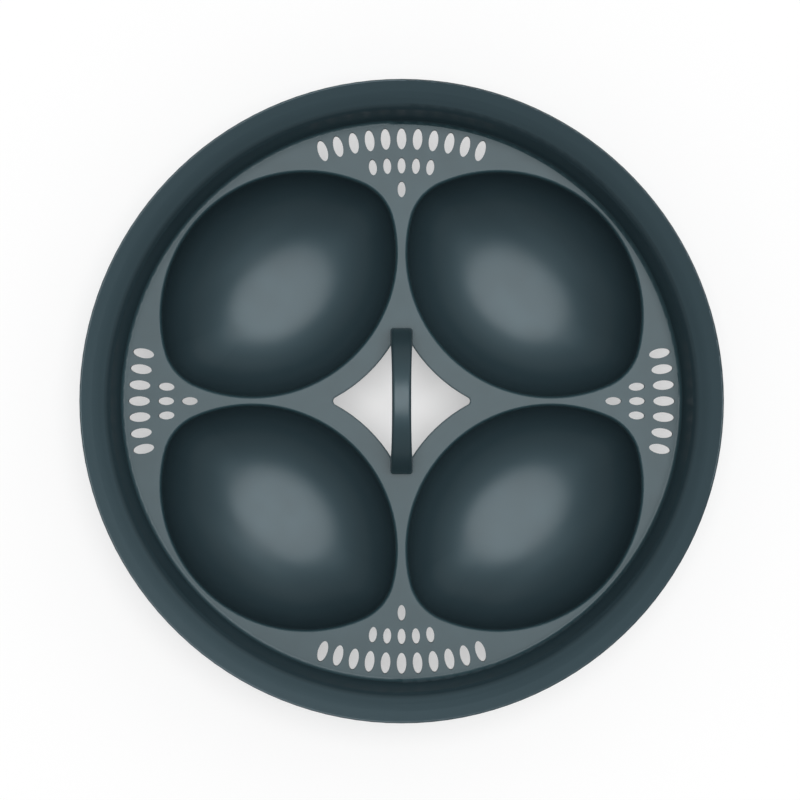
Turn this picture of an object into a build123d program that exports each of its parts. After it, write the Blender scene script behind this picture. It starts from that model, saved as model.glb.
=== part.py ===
from build123d import *
import os
from math import atan2, cos, hypot, radians, sin, sqrt, tan

# Egg poaching insert: a round moulded tray with four oval cups, steam slots and a funnel rim
# that hangs on the edge of a pan, and a strap handle that arches over a star-shaped opening.
# Millimetres, +Z up. The finished pieces stand on z = 0 with the centre of the tray on the
# Z axis, and the handle runs along Y. They are drawn with z = 0 on the top of the deck.

skin = 2.0                    # moulded thickness of deck, wall, rim and cups

# Cups: four-arc ovals, one in each quarter of the deck
cup_length = 107.4
cup_width = 82.1
cup_tip_radius = 20.6
cup_angle = 139.9             # degrees, long axis from +X in the quarter with +X and +Y
cup_web_x = 4.8               # deck left between two cups across the Y axis
cup_web_y = 3.8               # the same across the X axis
cup_margin = 3.37             # deck left between a cup and the wall
cup_depth = 30.0              # below the top of the deck
cup_edge_round = 1.0
cup_fullness = 2.5            # exponent of the bowl's section: 2 is an ellipse, more is fuller
cup_draft_share = 0.02        # how much of its size the bowl's outline loses over its depth
cup_floor_angle = 87.0        # degrees round the section's quarter where the flat floor starts
cup_foot_angle = 80.0         # the same for the flat foot underneath
cup_levels = 9                # steps from deck to floor
edge_levels = 4               # steps round the edge

# Rim: a steep wall, then a flare that rises outward to a lip with a narrow upright edge
rim_width = 12.4              # from the edge of the deck to the outside of the lip
rim_height = 21.0             # from the deck to the top of the lip
wall_draft = 6.0              # degrees off vertical
flare_low_slope = 28.0        # degrees, next to the wall
flare_high_slope = 23.0       # degrees, next to the lip
flare_break = 4.9             # the slope changes this far in from the top of the lip
lip_round = 0.6               # over and under the lip's upright edge
deck_round = 2.8              # radii along the middle of the skin
bend_round = 3.0
flare_round = 30.0

# Star opening under the handle: four arcs that bow inward, with rounded tips
star_span_x = 58.8            # between the tips before rounding
star_span_y = 60.8
star_arc_radius = 60.5
star_tip_round = 1.6
star_edge_round = 0.5

# Steam slots: ellipses in three rows, with their long axes towards the centre
outer_slot_length = 8.6
outer_slot_width = 3.8
inner_slot_length = 6.4
inner_slot_width = 3.15
outer_row_inset = 7.3         # from the edge of the deck to the middle of the outer row
middle_row_step = 10.8        # from the outer row in to the middle row
inner_row_step = 9.5          # from the middle row in to the inner row
slot_pitch = 3.5              # degrees between the slots of a row
slot_counts_past_the_feet = (11, 5, 1)
slot_counts_beside_the_handle = (7, 3, 1)

# Handle: a soft strap with grooved feet that slide into two tips of the star
foot_overlap = 1.0            # the sole reaches this far past the rounded tip
foot_length = 7.0
foot_width = 9.0
foot_rise = 2.0               # upright part of the foot
foot_corner_round = 1.5       # at the outer end, seen from above
crown_height = 29.0           # above the deck
crown_width = 7.2
strap_thickness = 3.5         # at the crown
strap_edge_round = 1.1
neck_clearance = 0.2          # between the neck and the edge of the star
head_thickness = 2.5          # under the deck

# Spring strip inside the handle, with its ends turned outward under the deck
strip_thickness = 0.8
strip_width = 3.6
strip_cover = 1.8             # from the inside of the foot to the middle of the strip
strip_bend_radius = 1.2

cut_overrun = 5.0
same_place = 0.001            # two places closer than this are one

# The cup's oval: its side arcs follow from its length, width and tip radius
tip_offset = cup_length / 2 - cup_tip_radius
side_radius = ((cup_width / 2) ** 2 + tip_offset**2 - cup_tip_radius**2) / (cup_width - 2 * cup_tip_radius)
side_offset = side_radius - cup_width / 2


def oval_extent(direction):
    """How far the cup's oval reaches from its middle, this many degrees off its long axis."""
    along = abs(cos(radians(direction)))
    across = abs(sin(radians(direction)))
    if atan2(across, along) < atan2(side_offset, tip_offset):
        return tip_offset * along + cup_tip_radius
    return side_radius - side_offset * across


# Places in the quarter with +X and +Y
cup_centre_x = cup_web_x / 2 + oval_extent(cup_angle)
cup_centre_y = cup_web_y / 2 + oval_extent(cup_angle - 90)
outer_arc_x = cup_centre_x - side_offset * sin(radians(cup_angle))
outer_arc_y = cup_centre_y + side_offset * cos(radians(cup_angle))
deck_radius = hypot(outer_arc_x, outer_arc_y) + side_radius + cup_margin
deck_top = cup_depth + skin
outer_radius = deck_radius + rim_width

# The star's tips, and the centre of the arc between them
star_x = star_span_x / 2
star_y = star_span_y / 2
star_chord = hypot(star_x, star_y)
star_arc_rise = sqrt(star_arc_radius**2 - (star_chord / 2) ** 2)
star_arc_x = star_x / 2 + star_arc_rise * star_y / star_chord
star_arc_y = star_y / 2 + star_arc_rise * star_x / star_chord
star_reach = star_arc_y + star_tip_round - sqrt((star_arc_radius + star_tip_round) ** 2 - star_arc_x**2)
foot_end = star_reach + foot_overlap
foot_start = foot_end - foot_length


def rim_and_deck():
    """Deck, wall, flare and lip as one skin turned about the Z axis."""
    draft = radians(wall_draft)
    slope = tan(radians(flare_low_slope))
    high_slope = radians(flare_high_slope)
    # the middle of the skin beside the top of the lip
    lip_x = outer_radius - lip_round - (lip_round - skin / 2) * sin(high_slope)
    lip_z = rim_height - lip_round + (lip_round - skin / 2) * cos(high_slope)
    break_x = lip_x - flare_break
    break_z = lip_z - flare_break * tan(high_slope)
    # foot and top of the wall along the middle of the skin
    foot_x = deck_radius + (skin / 2) * (1 - sin(draft)) / cos(draft)
    foot_z = -skin / 2
    top_x = (foot_x + tan(draft) * (break_z - foot_z - slope * break_x)) / (1 - slope * tan(draft))
    top_z = break_z - slope * (break_x - top_x)
    middle_line = FilletPolyline(
        (-cut_overrun, foot_z),
        (foot_x, foot_z),
        (top_x, top_z),
        (break_x, break_z),
        (lip_x + cut_overrun, lip_z + cut_overrun * tan(high_slope)),
        radius=[deck_round, bend_round, flare_round],
    )
    one_side = Pos(outer_radius / 2, 0) * Rectangle(outer_radius, 2 * (rim_height + skin))
    section = make_face(offset(middle_line, amount=skin / 2)) & one_side
    section = fillet(section.vertices().sort_by(Axis.X)[-2:], lip_round)
    return revolve(Plane.XZ * section, axis=Axis.Z)


def oval(size_share, grow):
    """The cup's outline drawn smaller by a share, then grown on all sides."""
    offset_x = tip_offset * size_share
    offset_y = side_offset * size_share
    half_length = cup_length / 2 * size_share + grow
    half_width = cup_width / 2 * size_share + grow
    reach_share = (side_radius * size_share + grow) / ((side_radius - cup_tip_radius) * size_share)
    join_x = offset_x * reach_share
    join_y = offset_y * (reach_share - 1)
    edges = [
        ThreePointArc((join_x, join_y), (0, half_width), (-join_x, join_y)),
        ThreePointArc((-join_x, join_y), (-half_length, 0), (-join_x, -join_y)),
        ThreePointArc((-join_x, -join_y), (0, -half_width), (join_x, -join_y)),
        ThreePointArc((join_x, -join_y), (half_length, 0), (join_x, join_y)),
    ]
    return make_face(Curve() + edges)


def bowl(grow, depth, last_angle):
    """Solid bowl: its section is a full quarter curve that ends in a flat."""
    power = 2 / cup_fullness
    deepest_share = sin(radians(last_angle)) ** power
    levels = []
    for level in range(cup_levels + 1):
        angle = radians(last_angle) * level / cup_levels
        drop_share = sin(angle) ** power / deepest_share
        curve_share = cos(angle) ** power
        size_share = curve_share * (1 - cup_draft_share * drop_share)
        levels.append(Pos(0, 0, -depth * drop_share) * oval(size_share, grow * curve_share))
    return loft(levels)


def cup_edge():
    """What the rounding between deck and cup takes away: a quarter round along the oval."""
    levels = []
    for level in range(edge_levels + 1):
        angle = radians(90) * level / edge_levels
        drop = cup_edge_round * (1 - cos(angle))
        size_share = 1 - cup_draft_share * drop / cup_depth
        levels.append(Pos(0, 0, -drop) * oval(size_share, cup_edge_round * (1 - sin(angle))))
    return loft(levels)


def four_quarters(shape):
    """A cup's shape in its place in the first quarter, mirrored into the other three."""
    placed = Pos(cup_centre_x, cup_centre_y) * Rot(0, 0, cup_angle) * shape
    pair = [placed, mirror(placed, about=Plane.YZ)]
    return pair + [mirror(one, about=Plane.XZ) for one in pair]


def star(inset):
    """The opening under the handle as a flat face, drawn smaller all round by the inset."""
    radius = star_arc_radius + inset
    tip_x = star_arc_x - sqrt(radius**2 - star_arc_y**2)
    tip_y = star_arc_y - sqrt(radius**2 - star_arc_x**2)
    tips = [(tip_x, 0), (0, tip_y), (-tip_x, 0), (0, -tip_y)]
    arcs = [RadiusArc(tip, following, radius) for tip, following in zip(tips, tips[1:] + tips[:1])]
    face = make_face(Curve() + arcs)
    return fillet(face.vertices(), star_tip_round - inset)


def slot_group(middle_angle, counts):
    """Three rows of slots, spread evenly about one direction from the centre."""
    outer_row = deck_radius - outer_row_inset
    middle_row = outer_row - middle_row_step
    inner_row = middle_row - inner_row_step
    rows = (
        (outer_row, outer_slot_length, outer_slot_width),
        (middle_row, inner_slot_length, inner_slot_width),
        (inner_row, inner_slot_length, inner_slot_width),
    )
    slots = []
    for (row_radius, length, width), count in zip(rows, counts):
        for i in range(count):
            turn = middle_angle + slot_pitch * (i - (count - 1) / 2)
            slots.append(Rot(0, 0, turn) * Pos(row_radius, 0) * Ellipse(length / 2, width / 2))
    return slots


def through_deck(faces):
    """Cutters that run past both faces of the deck."""
    lowest = Pos(0, 0, -skin - cut_overrun)
    return [lowest * extrude(face, skin + 2 * cut_overrun) for face in faces]


def make_tray():
    """Rim, deck and cups in one moulding."""
    body = rim_and_deck()
    under_deck = Pos(0, 0, -skin / 2 - cup_depth) * Box(2 * deck_radius, 2 * deck_radius, 2 * cup_depth)
    body += four_quarters(bowl(skin, cup_depth + skin, cup_foot_angle) & under_deck)
    body -= four_quarters(bowl(0, cup_depth, cup_floor_angle))
    body -= four_quarters(cup_edge())
    body -= through_deck([star(0)])
    on_deck = body.edges().filter_by_position(Axis.Z, -same_place, same_place)
    star_edge = [edge for edge in on_deck if hypot((edge @ 0.5).X, (edge @ 0.5).Y) < star_x]
    body = fillet(star_edge, star_edge_round)
    slots = []
    for middle_angle in (0, 180):
        slots += slot_group(middle_angle, slot_counts_beside_the_handle)
        slots += slot_group(middle_angle + 90, slot_counts_past_the_feet)
    return body - through_deck(slots)


def across(sketch, width):
    """Stands a side view of the handle on the YZ plane and extrudes it evenly about it."""
    return Pos(-width / 2, 0, 0) * extrude(Plane.YZ * sketch, width)


def under_arch(reach, top):
    """Side view of the space under an arch: two uprights and half an ellipse."""
    lines = [
        Line((-reach, 0), (reach, 0)),
        Line((reach, 0), (reach, foot_rise)),
        EllipticalCenterArc((0, foot_rise), reach, top - foot_rise, start_angle=0, arc_size=180),
        Line((-reach, foot_rise), (-reach, 0)),
    ]
    return make_face(Curve() + lines)


def strap():
    """Arched strap on two soles: the sides lean in, and the outer edges are rounded."""
    front = Polyline(
        (-foot_width / 2, 0),
        (foot_width / 2, 0),
        (crown_width / 2, crown_height),
        (-crown_width / 2, crown_height),
        close=True,
    )
    slab = Pos(0, 2 * foot_end, 0) * extrude(Plane.XZ * make_face(front), 4 * foot_end)
    body = across(under_arch(foot_end, crown_height), 2 * foot_width) & slab
    off_deck = [edge for edge in body.edges() if (edge @ 0.5).Z > same_place]
    long_edges = [edge for edge in off_deck if abs((edge @ 0).X - (edge @ 1).X) < foot_width / 2]
    sole = RectangleRounded(foot_width, 2 * foot_end, foot_corner_round)
    body = fillet(long_edges, strap_edge_round) & extrude(sole, crown_height)
    return body - across(under_arch(foot_start, crown_height - strap_thickness), 2 * foot_width)


def neck_and_head():
    """What holds the foot on the +Y side: a neck in the star's tip and a head under the deck."""
    sole = Pos(0, foot_end - foot_length / 2) * Rectangle(foot_width, foot_length)
    neck = Pos(0, 0, -skin) * extrude(star(neck_clearance) & sole, skin)
    outer_corners = sole.vertices().sort_by(Axis.Y)[2:]
    head = extrude(fillet(outer_corners, foot_corner_round), head_thickness)
    return neck + Pos(0, 0, -skin - head_thickness) * head


def strip_view(toe_end):
    """Side view of the strip: an arch, a leg through each tip of the star, toes to this reach."""
    half = strip_thickness / 2
    leg = foot_start + strip_cover
    top = crown_height - strap_thickness / 2
    toe_z = -skin - head_thickness / 2
    bend = FilletPolyline((toe_end + half, toe_z), (leg, toe_z), (leg, 0), radius=strip_bend_radius)
    hook = make_face(offset(bend, amount=half)) & Rectangle(2 * toe_end, 4 * head_thickness + 2 * skin)
    arch = under_arch(leg + half, top + half) - under_arch(leg - half, top - half)
    return arch + hook + mirror(hook, about=Plane.YZ)


def make_grip():
    """Strap, necks and heads in one moulding round the strip, open where the toes end."""
    foot = neck_and_head()
    strip_hole = across(strip_view(foot_end + cut_overrun), strip_width)
    return strap() + foot + mirror(foot, about=Plane.XZ) - strip_hole


def make_strip():
    """Spring strip, cut off level with the ends of the heads."""
    return across(strip_view(foot_end), strip_width)


pieces = {
    "poaching_tray": make_tray(),
    "handle_grip": make_grip(),
    "handle_spring_strip": make_strip(),
}

os.makedirs("parts", exist_ok=True)
for name, piece in pieces.items():
    export_step(Pos(0, 0, deck_top) * piece, f"parts/{name}.step")
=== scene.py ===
import math
import bpy
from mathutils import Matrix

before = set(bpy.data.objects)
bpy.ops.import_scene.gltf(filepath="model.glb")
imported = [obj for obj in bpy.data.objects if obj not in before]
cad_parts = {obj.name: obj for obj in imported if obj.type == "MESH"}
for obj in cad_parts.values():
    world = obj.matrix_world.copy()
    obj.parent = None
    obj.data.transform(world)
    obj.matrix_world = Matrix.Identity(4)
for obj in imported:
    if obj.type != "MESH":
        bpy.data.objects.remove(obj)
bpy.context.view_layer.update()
print("frame loaded:", ", ".join(sorted(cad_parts)))

# Egg poaching insert seen from straight above. Metres, +Z up, the handle along Y.

noiseSpan = (0.3, 0.7)                # most values of a noise lie between these


def newMaterial(name):
    material = bpy.data.materials.new(name)
    material.use_nodes = True
    tree = material.node_tree
    for node in list(tree.nodes):
        tree.nodes.remove(node)
    output = tree.nodes.new("ShaderNodeOutputMaterial")
    return material, tree, output


def place(tree, kind, **settings):
    node = tree.nodes.new(kind)
    for key, value in settings.items():
        setattr(node, key, value)
    return node


def fill(tree, socket, value):
    # another node's socket is linked to this one, a plain value is set on it
    if isinstance(value, bpy.types.NodeSocket):
        tree.links.new(value, socket)
    else:
        socket.default_value = value


def scalar(tree, operation, *values):
    # one sum on plain numbers
    node = place(tree, "ShaderNodeMath", operation=operation)
    for socket, value in zip(node.inputs, values):
        fill(tree, socket, value)
    return node.outputs["Value"]


def vector(tree, operation, *values):
    # one sum on places or directions
    node = place(tree, "ShaderNodeVectorMath", operation=operation)
    for socket, value in zip(node.inputs, values):
        fill(tree, socket, value)
    return node.outputs["Value" if operation == "DOT_PRODUCT" else "Vector"]


def ranged(tree, value, ends, results, **settings):
    # carries a value that lies between the ends to its place between the results
    span = place(tree, "ShaderNodeMapRange", **settings)
    names = ("From Min", "From Max", "To Min", "To Max")
    for name, number in zip(names, (*ends, *results)):
        span.inputs[name].default_value = number
    tree.links.new(value, span.inputs["Value"])
    return span.outputs["Result"]


def faded(tree, value, ends):
    # 0 at the first end, 1 at the second, with a soft change between
    return ranged(tree, value, ends, (0, 1), interpolation_type="SMOOTHSTEP")


def blended(tree, share, under, over, **settings):
    # goes from what is under to what is over as the share grows from 0 to 1
    mix = place(tree, "ShaderNodeMix", **settings)
    fill(tree, mix.inputs["Factor"], share)
    fill(tree, mix.inputs["A"], under)
    fill(tree, mix.inputs["B"], over)
    return mix.outputs["Result"]


def painted(tree, share, under, colour, way="MIX"):
    return blended(tree, share, under, (*colour, 1), data_type="RGBA", blend_type=way)


def upPart(tree, value):
    # the height of a place, or the upward share of a normal
    parts = place(tree, "ShaderNodeSeparateXYZ")
    tree.links.new(value, parts.inputs["Vector"])
    return parts.outputs["Z"]


def noiseAt(tree, coords, scale, layers, strength=0.5):
    # a value between 0 and 1 that wanders with the place on the object
    noise = place(tree, "ShaderNodeTexNoise")
    noise.inputs["Scale"].default_value = scale
    noise.inputs["Detail"].default_value = layers
    noise.inputs["Roughness"].default_value = strength
    tree.links.new(coords, noise.inputs["Vector"])
    return noise.outputs["Fac"]


def tinted(tree, noise, colour, spread):
    # the colour drifts between a darker and a lighter tone of itself
    darker = [c * (1 - spread) for c in colour] + [1]
    lighter = [c * (1 + spread) for c in colour]
    return painted(tree, ranged(tree, noise, noiseSpan, (0, 1)), darker, lighter)


def unevenRoughness(tree, noise, look):
    low = look["roughness"] - look["roughnessSpread"]
    high = look["roughness"] + look["roughnessSpread"]
    return ranged(tree, noise, noiseSpan, (low, high))


def bumped(tree, noise, depth, under=None):
    bump = place(tree, "ShaderNodeBump")
    bump.inputs["Distance"].default_value = depth
    tree.links.new(noise, bump.inputs["Height"])
    if under is not None:
        tree.links.new(under, bump.inputs["Normal"])
    return bump.outputs["Normal"]


def satinShader(tree, look):
    # slate body with a gloss of its own hue, under a thin clear skin
    shader = place(tree, "ShaderNodeBsdfPrincipled")
    shader.inputs["Specular IOR Level"].default_value = look["specular"]
    shader.inputs["Specular Tint"].default_value = (*look["specularTint"], 1)
    shader.inputs["Coat Weight"].default_value = look["coatWeight"]
    shader.inputs["Coat IOR"].default_value = look["coatIor"]
    shader.inputs["Coat Roughness"].default_value = look["coatRoughness"]
    return shader


def dress(node, material):
    # a CAD node keeps its mesh and gets only a material
    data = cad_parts[node].data
    data.materials.clear()
    data.materials.append(material)


# Tray: rim, wall, deck and four cups in one moulding.
trayLook = {
    "slate": (0.0180, 0.0327, 0.0396),
    "tintSpread": 0.05,               # how far the colour drifts to each side of the slate
    "tintNoise": (22.0, 4),           # each noise: waves per metre, and finer layers on them
    "specular": 0.44,
    "specularTint": (0.46, 0.83, 1.0),
    "roughness": 0.50,
    "roughnessSpread": 0.03,
    "roughnessNoise": (110.0, 5),
    "coatWeight": 1.0,                # the smooth skin that the polished mould leaves
    "coatIor": 1.34,
    "coatRoughness": 0.30,
    "coatSteep": (0.15, 0.5),         # upward shares of the normal: steep walls lose the skin
    "coatLeft": 0.35,
    "grainNoise": (2600.0, 3),        # fine moulded grain
    "grainDepth": 0.000008,
    "flowNoise": (60.0, 2),           # slow waves that the mould leaves in the skin
    "flowDepth": 0.000008,
    "deckSpan": (0.0313, 0.0327),     # heights of the deck's top, which has a duller grain
    # painted shade: the deck's top is coloured darker and less red than the cups, though it is
    # the same plastic
    "deckPaintedShade": (0.4, 0.79, 0.8),
    "deckRoughness": 0.10,            # what the duller grain adds
    "footWearHeight": 0.0012,         # the cups' feet are scuffed up to here
    "footWear": 0.35,
    "footPale": 2.2,                  # times as light as the slate
    "footNoise": (433.33333, 6, 0.7),  # patchy: the third number strengthens the layers
    "edgeHighlightReach": 0.0295,              # the star's rounded edge is painted pale as a highlight where X plus Y is less
    "edgeHighlightTurn": (0.985, 0.85),        # upward shares between which the painted highlight comes in
    "edgeColour": (0.090, 0.118, 0.128),
    "wallFoot": 0.0335,               # painted light: the wall over this height is coloured lighter
    "wallTurn": (0.6, 0.3),           # upward shares between which the painted light comes in
    "wallShade": 1.6,
    "cupCentre": (0.04934, 0.04684, 0.0),
    "cupAlong": (-0.7649, 0.6441, 0.0),
    "cupOutward": (0.6441, 0.7649, 0.0),
    "cupAlongReach": 0.0240,          # a flat oval of about the floor's size
    "cupOutwardReach": 0.0165,
    "cupAlongRise": 4.3,              # slope gained per metre at the centre
    "cupOutwardRise": 6.4,
    "cupSteeper": 1.0,                # how much faster it rises by the oval's edge
    "cupFloorFade": (0.0056, 0.0034),  # heights between which the smooth floor comes in
    "cupUpper": 0.02,                 # upward share over which a face is the upper skin
    "cupLean": 0.068,                 # the bowls lean a little towards the middle
    "cupLeanHeights": (0.0300, 0.0260),
    "cupLeanReach": (0.0230, 0.0150),  # outward of the centre the lean fades over this
}


def cupNormal(tree, look, coords, normal, turned, height):
    # the cups as the light shows them: only the shading follows this, worked out in one
    # quarter and mirrored into the others
    sides = vector(tree, "SIGN", coords)
    quarter = vector(tree, "ABSOLUTE", coords)
    offset = vector(tree, "SUBTRACT", quarter, look["cupCentre"])
    along = vector(tree, "DOT_PRODUCT", offset, look["cupAlong"])
    along = scalar(tree, "DIVIDE", along, look["cupAlongReach"])
    distance = vector(tree, "DOT_PRODUCT", offset, look["cupOutward"])
    outward = scalar(tree, "DIVIDE", distance, look["cupOutwardReach"])
    upper = scalar(tree, "GREATER_THAN", turned, look["cupUpper"])

    # smooth floor: the normal leans against a slope that grows along both axes of the oval
    alongRise = look["cupAlongRise"] * look["cupAlongReach"]
    outwardRise = look["cupOutwardRise"] * look["cupOutwardReach"]
    slope = vector(
        tree, "ADD",
        vector(tree, "MULTIPLY", along, [-c * alongRise for c in look["cupAlong"]]),
        vector(tree, "MULTIPLY", outward, [-c * outwardRise for c in look["cupOutward"]]),
    )
    square = scalar(tree, "MULTIPLY", along, along)
    square = scalar(tree, "MULTIPLY_ADD", outward, outward, square)
    steeper = scalar(tree, "MULTIPLY_ADD", square, look["cupSteeper"], 1)
    slope = vector(tree, "MULTIPLY", slope, steeper)
    smooth = vector(tree, "NORMALIZE", vector(tree, "ADD", slope, (0, 0, 1)))
    smooth = vector(tree, "MULTIPLY", smooth, sides)
    floorShare = scalar(tree, "MULTIPLY", upper, faded(tree, height, look["cupFloorFade"]))
    floor = blended(tree, floorShare, normal, smooth, data_type="VECTOR")

    # the lean towards the middle
    leanShare = scalar(tree, "MULTIPLY", upper, faded(tree, height, look["cupLeanHeights"]))
    leanShare = scalar(tree, "MULTIPLY", leanShare, faded(tree, distance, look["cupLeanReach"]))
    lean = vector(tree, "MULTIPLY", sides, [-c * look["cupLean"] for c in look["cupOutward"]])
    lean = vector(tree, "MULTIPLY", lean, leanShare)
    leaned = vector(tree, "NORMALIZE", vector(tree, "ADD", floor, lean))
    turn = place(tree, "ShaderNodeVectorTransform", vector_type="NORMAL")
    turn.convert_from, turn.convert_to = "OBJECT", "WORLD"
    tree.links.new(leaned, turn.inputs["Vector"])
    return turn.outputs["Vector"]


def trayMaterial(look):
    material, tree, output = newMaterial("slatePlastic")
    origin = place(tree, "ShaderNodeTexCoord")
    coords, normal = origin.outputs["Object"], origin.outputs["Normal"]
    height, turned = upPart(tree, coords), upPart(tree, normal)
    upShare = scalar(tree, "ABSOLUTE", turned)
    shader = satinShader(tree, look)
    drift = noiseAt(tree, coords, *look["tintNoise"])
    colour = tinted(tree, drift, look["slate"], look["tintSpread"])

    # the deck's top, 1 on it, 0 elsewhere: its grain is duller than the polished cups, and its
    # colour is darkened there as painted shade
    bottom, top = look["deckSpan"]
    onDeck = scalar(tree, "COMPARE", height, (bottom + top) / 2, (top - bottom) / 2)
    colour = painted(tree, onDeck, colour, look["deckPaintedShade"], "MULTIPLY")

    # scuffed feet: strongest at the floor, broken up by a patchy noise
    low = ranged(tree, height, (0, look["footWearHeight"]), (look["footWear"], 0))
    patchy = scalar(tree, "MULTIPLY", low, noiseAt(tree, coords, *look["footNoise"]))
    colour = painted(tree, patchy, colour, [c * look["footPale"] for c in look["slate"]])

    # painted highlight: the rounded edge round the star opening is coloured pale
    away = vector(tree, "DOT_PRODUCT", vector(tree, "ABSOLUTE", coords), (1, 1, 0))
    near = scalar(tree, "LESS_THAN", away, look["edgeHighlightReach"])
    onEdgeHighlight = scalar(tree, "MULTIPLY", near, faded(tree, turned, look["edgeHighlightTurn"]))
    onEdgeHighlight = scalar(tree, "MULTIPLY", onEdgeHighlight, onDeck)
    colour = painted(tree, onEdgeHighlight, colour, look["edgeColour"])

    # painted light: the wall between deck and rim is coloured lighter
    overDeck = scalar(tree, "GREATER_THAN", height, look["wallFoot"])
    onPaintedWallLight = scalar(tree, "MULTIPLY", overDeck, faded(tree, upShare, look["wallTurn"]))
    colour = painted(tree, onPaintedWallLight, colour, [look["wallShade"]] * 3, "MULTIPLY")
    tree.links.new(colour, shader.inputs["Base Color"])

    # the steep walls come duller out of the mould
    skin = ranged(tree, upShare, look["coatSteep"], (look["coatLeft"], look["coatWeight"]))
    tree.links.new(skin, shader.inputs["Coat Weight"])
    rough = unevenRoughness(tree, noiseAt(tree, coords, *look["roughnessNoise"]), look)
    duller = scalar(tree, "MULTIPLY_ADD", onDeck, look["deckRoughness"], rough)
    tree.links.new(duller, shader.inputs["Roughness"])

    moulded = cupNormal(tree, look, coords, normal, turned, height)
    flow = bumped(tree, noiseAt(tree, coords, *look["flowNoise"]), look["flowDepth"], moulded)
    grain = bumped(tree, noiseAt(tree, coords, *look["grainNoise"]), look["grainDepth"], flow)
    tree.links.new(grain, shader.inputs["Normal"])
    tree.links.new(grain, shader.inputs["Coat Normal"])
    tree.links.new(shader.outputs["BSDF"], output.inputs["Surface"])
    return material


dress("poaching_tray", trayMaterial(trayLook))
print("tray done")


# Strap handle: soft rubber with a fine grain.
gripLook = {
    "rubber": (0.0215, 0.0385, 0.0455),
    "tintSpread": 0.06,
    "tintNoise": (70.0, 5),
    "specular": 0.44,
    "specularTint": (0.46, 0.83, 1.0),
    "roughness": 0.50,
    "roughnessSpread": 0.04,
    "roughnessNoise": (280.0, 4),
    "coatWeight": 1.0,
    "coatIor": 1.34,
    "coatRoughness": 0.30,
    "grainNoise": (3400.0, 3),
    "grainDepth": 0.000010,
}


def gripMaterial(look):
    material, tree, output = newMaterial("softGripRubber")
    coords = place(tree, "ShaderNodeTexCoord").outputs["Object"]
    shader = satinShader(tree, look)
    drift = noiseAt(tree, coords, *look["tintNoise"])
    colour = tinted(tree, drift, look["rubber"], look["tintSpread"])
    tree.links.new(colour, shader.inputs["Base Color"])
    rough = unevenRoughness(tree, noiseAt(tree, coords, *look["roughnessNoise"]), look)
    tree.links.new(rough, shader.inputs["Roughness"])
    grain = bumped(tree, noiseAt(tree, coords, *look["grainNoise"]), look["grainDepth"])
    tree.links.new(grain, shader.inputs["Normal"])
    tree.links.new(grain, shader.inputs["Coat Normal"])
    tree.links.new(shader.outputs["BSDF"], output.inputs["Surface"])
    return material


dress("handle_grip", gripMaterial(gripLook))
print("handle done")


# Spring strip inside the handle: steel brushed along its length.
steelLook = {
    "steel": (0.56, 0.57, 0.58),
    "tintSpread": 0.08,
    "roughness": 0.30,
    "roughnessSpread": 0.10,
    "brushStretch": (5200.0, 90.0, 5200.0),  # waves per metre across, along and up
    "brushNoise": (1.0, 3),
    "brushDepth": 0.000006,
}


def steelMaterial(look):
    material, tree, output = newMaterial("brushedSpringSteel")
    coords = place(tree, "ShaderNodeTexCoord").outputs["Object"]
    stretched = place(tree, "ShaderNodeMapping")
    stretched.inputs["Scale"].default_value = look["brushStretch"]
    tree.links.new(coords, stretched.inputs["Vector"])
    brushed = noiseAt(tree, stretched.outputs["Vector"], *look["brushNoise"])
    shader = place(tree, "ShaderNodeBsdfPrincipled")
    shader.inputs["Metallic"].default_value = 1
    colour = tinted(tree, brushed, look["steel"], look["tintSpread"])
    tree.links.new(colour, shader.inputs["Base Color"])
    tree.links.new(unevenRoughness(tree, brushed, look), shader.inputs["Roughness"])
    tree.links.new(bumped(tree, brushed, look["brushDepth"]), shader.inputs["Normal"])
    tree.links.new(shader.outputs["BSDF"], output.inputs["Surface"])
    return material


dress("handle_spring_strip", steelMaterial(steelLook))
print("spring strip done")


stageLook = {
    "floorSize": 6.0,
    "floorLevel": -0.00002,           # just clear of the cups' feet
    "floorColour": (0.98, 0.98, 0.98),
    "floorGlow": 0.4,                 # share of plain white light that the floor gives of itself
    "worldStrength": 0.33,
}


def overlaid(tree, share, under, over):
    # the second shader shows by the share, the first by the rest
    mix = place(tree, "ShaderNodeMixShader")
    for socket, value in zip(mix.inputs, (share, under, over)):
        tree.links.new(value, socket)
    return mix.outputs["Shader"]


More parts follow.
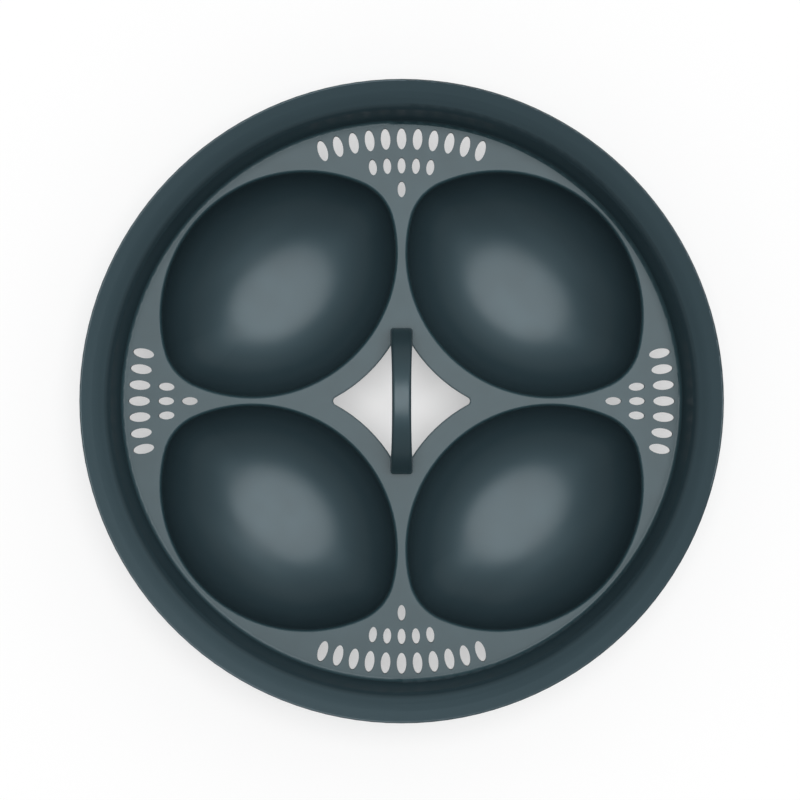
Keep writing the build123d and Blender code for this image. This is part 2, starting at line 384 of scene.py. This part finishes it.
def makeFloor(look):
    half, level = look["floorSize"] / 2, look["floorLevel"]
    corners = [(x * half, y * half, level) for x, y in ((-1, -1), (1, -1), (1, 1), (-1, 1))]
    mesh = bpy.data.meshes.new("paleFloor")
    mesh.from_pydata(corners, [], [(0, 1, 2, 3)])
    floor = bpy.data.objects.new("paleFloor", mesh)
    bpy.context.scene.collection.objects.link(floor)

    material, tree, output = newMaterial("palePaper")
    diffuse = place(tree, "ShaderNodeBsdfDiffuse")
    diffuse.inputs["Color"].default_value = (*look["floorColour"], 1)
    glow = place(tree, "ShaderNodeEmission")
    # gloss on the object mirrors the floor with its shadows, without the glow
    mirrored = place(tree, "ShaderNodeLightPath").outputs["Is Glossy Ray"]
    share = scalar(tree, "MULTIPLY_ADD", mirrored, -look["floorGlow"], look["floorGlow"])
    paper = overlaid(tree, share, diffuse.outputs["BSDF"], glow.outputs["Emission"])
    # from underneath the floor is clear, so that the feet can be looked at
    clear = place(tree, "ShaderNodeBsdfTransparent").outputs["BSDF"]
    underneath = place(tree, "ShaderNodeNewGeometry").outputs["Backfacing"]
    tree.links.new(overlaid(tree, underneath, paper, clear), output.inputs["Surface"])
    mesh.materials.append(material)


def makeWorld(look):
    world = bpy.data.worlds.new("studio")
    world.use_nodes = True
    tree = world.node_tree
    background = tree.nodes["Background"]
    background.inputs["Color"].default_value = (1, 1, 1, 1)
    # the camera sees plain white behind the floor, the object a weaker light
    seen = place(tree, "ShaderNodeLightPath").outputs["Is Camera Ray"]
    strength = ranged(tree, seen, (0, 1), (look["worldStrength"], 1))
    tree.links.new(strength, background.inputs["Strength"])
    bpy.context.scene.world = world


# Far soft panels: the same light falls on every part of the object.
lampLook = {
    "overheadPanel": {
        "lean": 4.4,                  # degrees off straight above
        "turn": 55.0,                 # degrees from +X towards +Y
        "spread": 42.0,               # degrees across, as wide as a large soft panel
        "strength": 2.1,
    },
    "sidePanel": {"lean": 56.0, "turn": 60.0, "spread": 70.0, "strength": 0.21},
}


def makeLamp(name, look):
    lamp = bpy.data.lights.new(name, "SUN")
    lamp.angle = math.radians(look["spread"])
    lamp.energy = look["strength"]
    holder = bpy.data.objects.new(name, lamp)
    holder.rotation_euler = (0, math.radians(look["lean"]), math.radians(look["turn"]))
    bpy.context.scene.collection.objects.link(holder)


cameraLook = {
    "place": (-0.00063, 0.00044, 0.652),
    "lens": 69.58,
    "nearest": 0.01,                  # nothing closer than this is drawn
}


def makeCamera(look):
    # an unturned camera looks straight down
    camera = bpy.data.cameras.new("camera")
    camera.lens = look["lens"]
    camera.clip_start = look["nearest"]
    holder = bpy.data.objects.new("camera", camera)
    holder.location = look["place"]
    bpy.context.scene.collection.objects.link(holder)
    bpy.context.scene.camera = holder


makeFloor(stageLook)
makeWorld(stageLook)
for lampName, oneLamp in lampLook.items():
    makeLamp(lampName, oneLamp)
makeCamera(cameraLook)
bpy.context.scene.view_settings.view_transform = "Standard"
print("stage done")
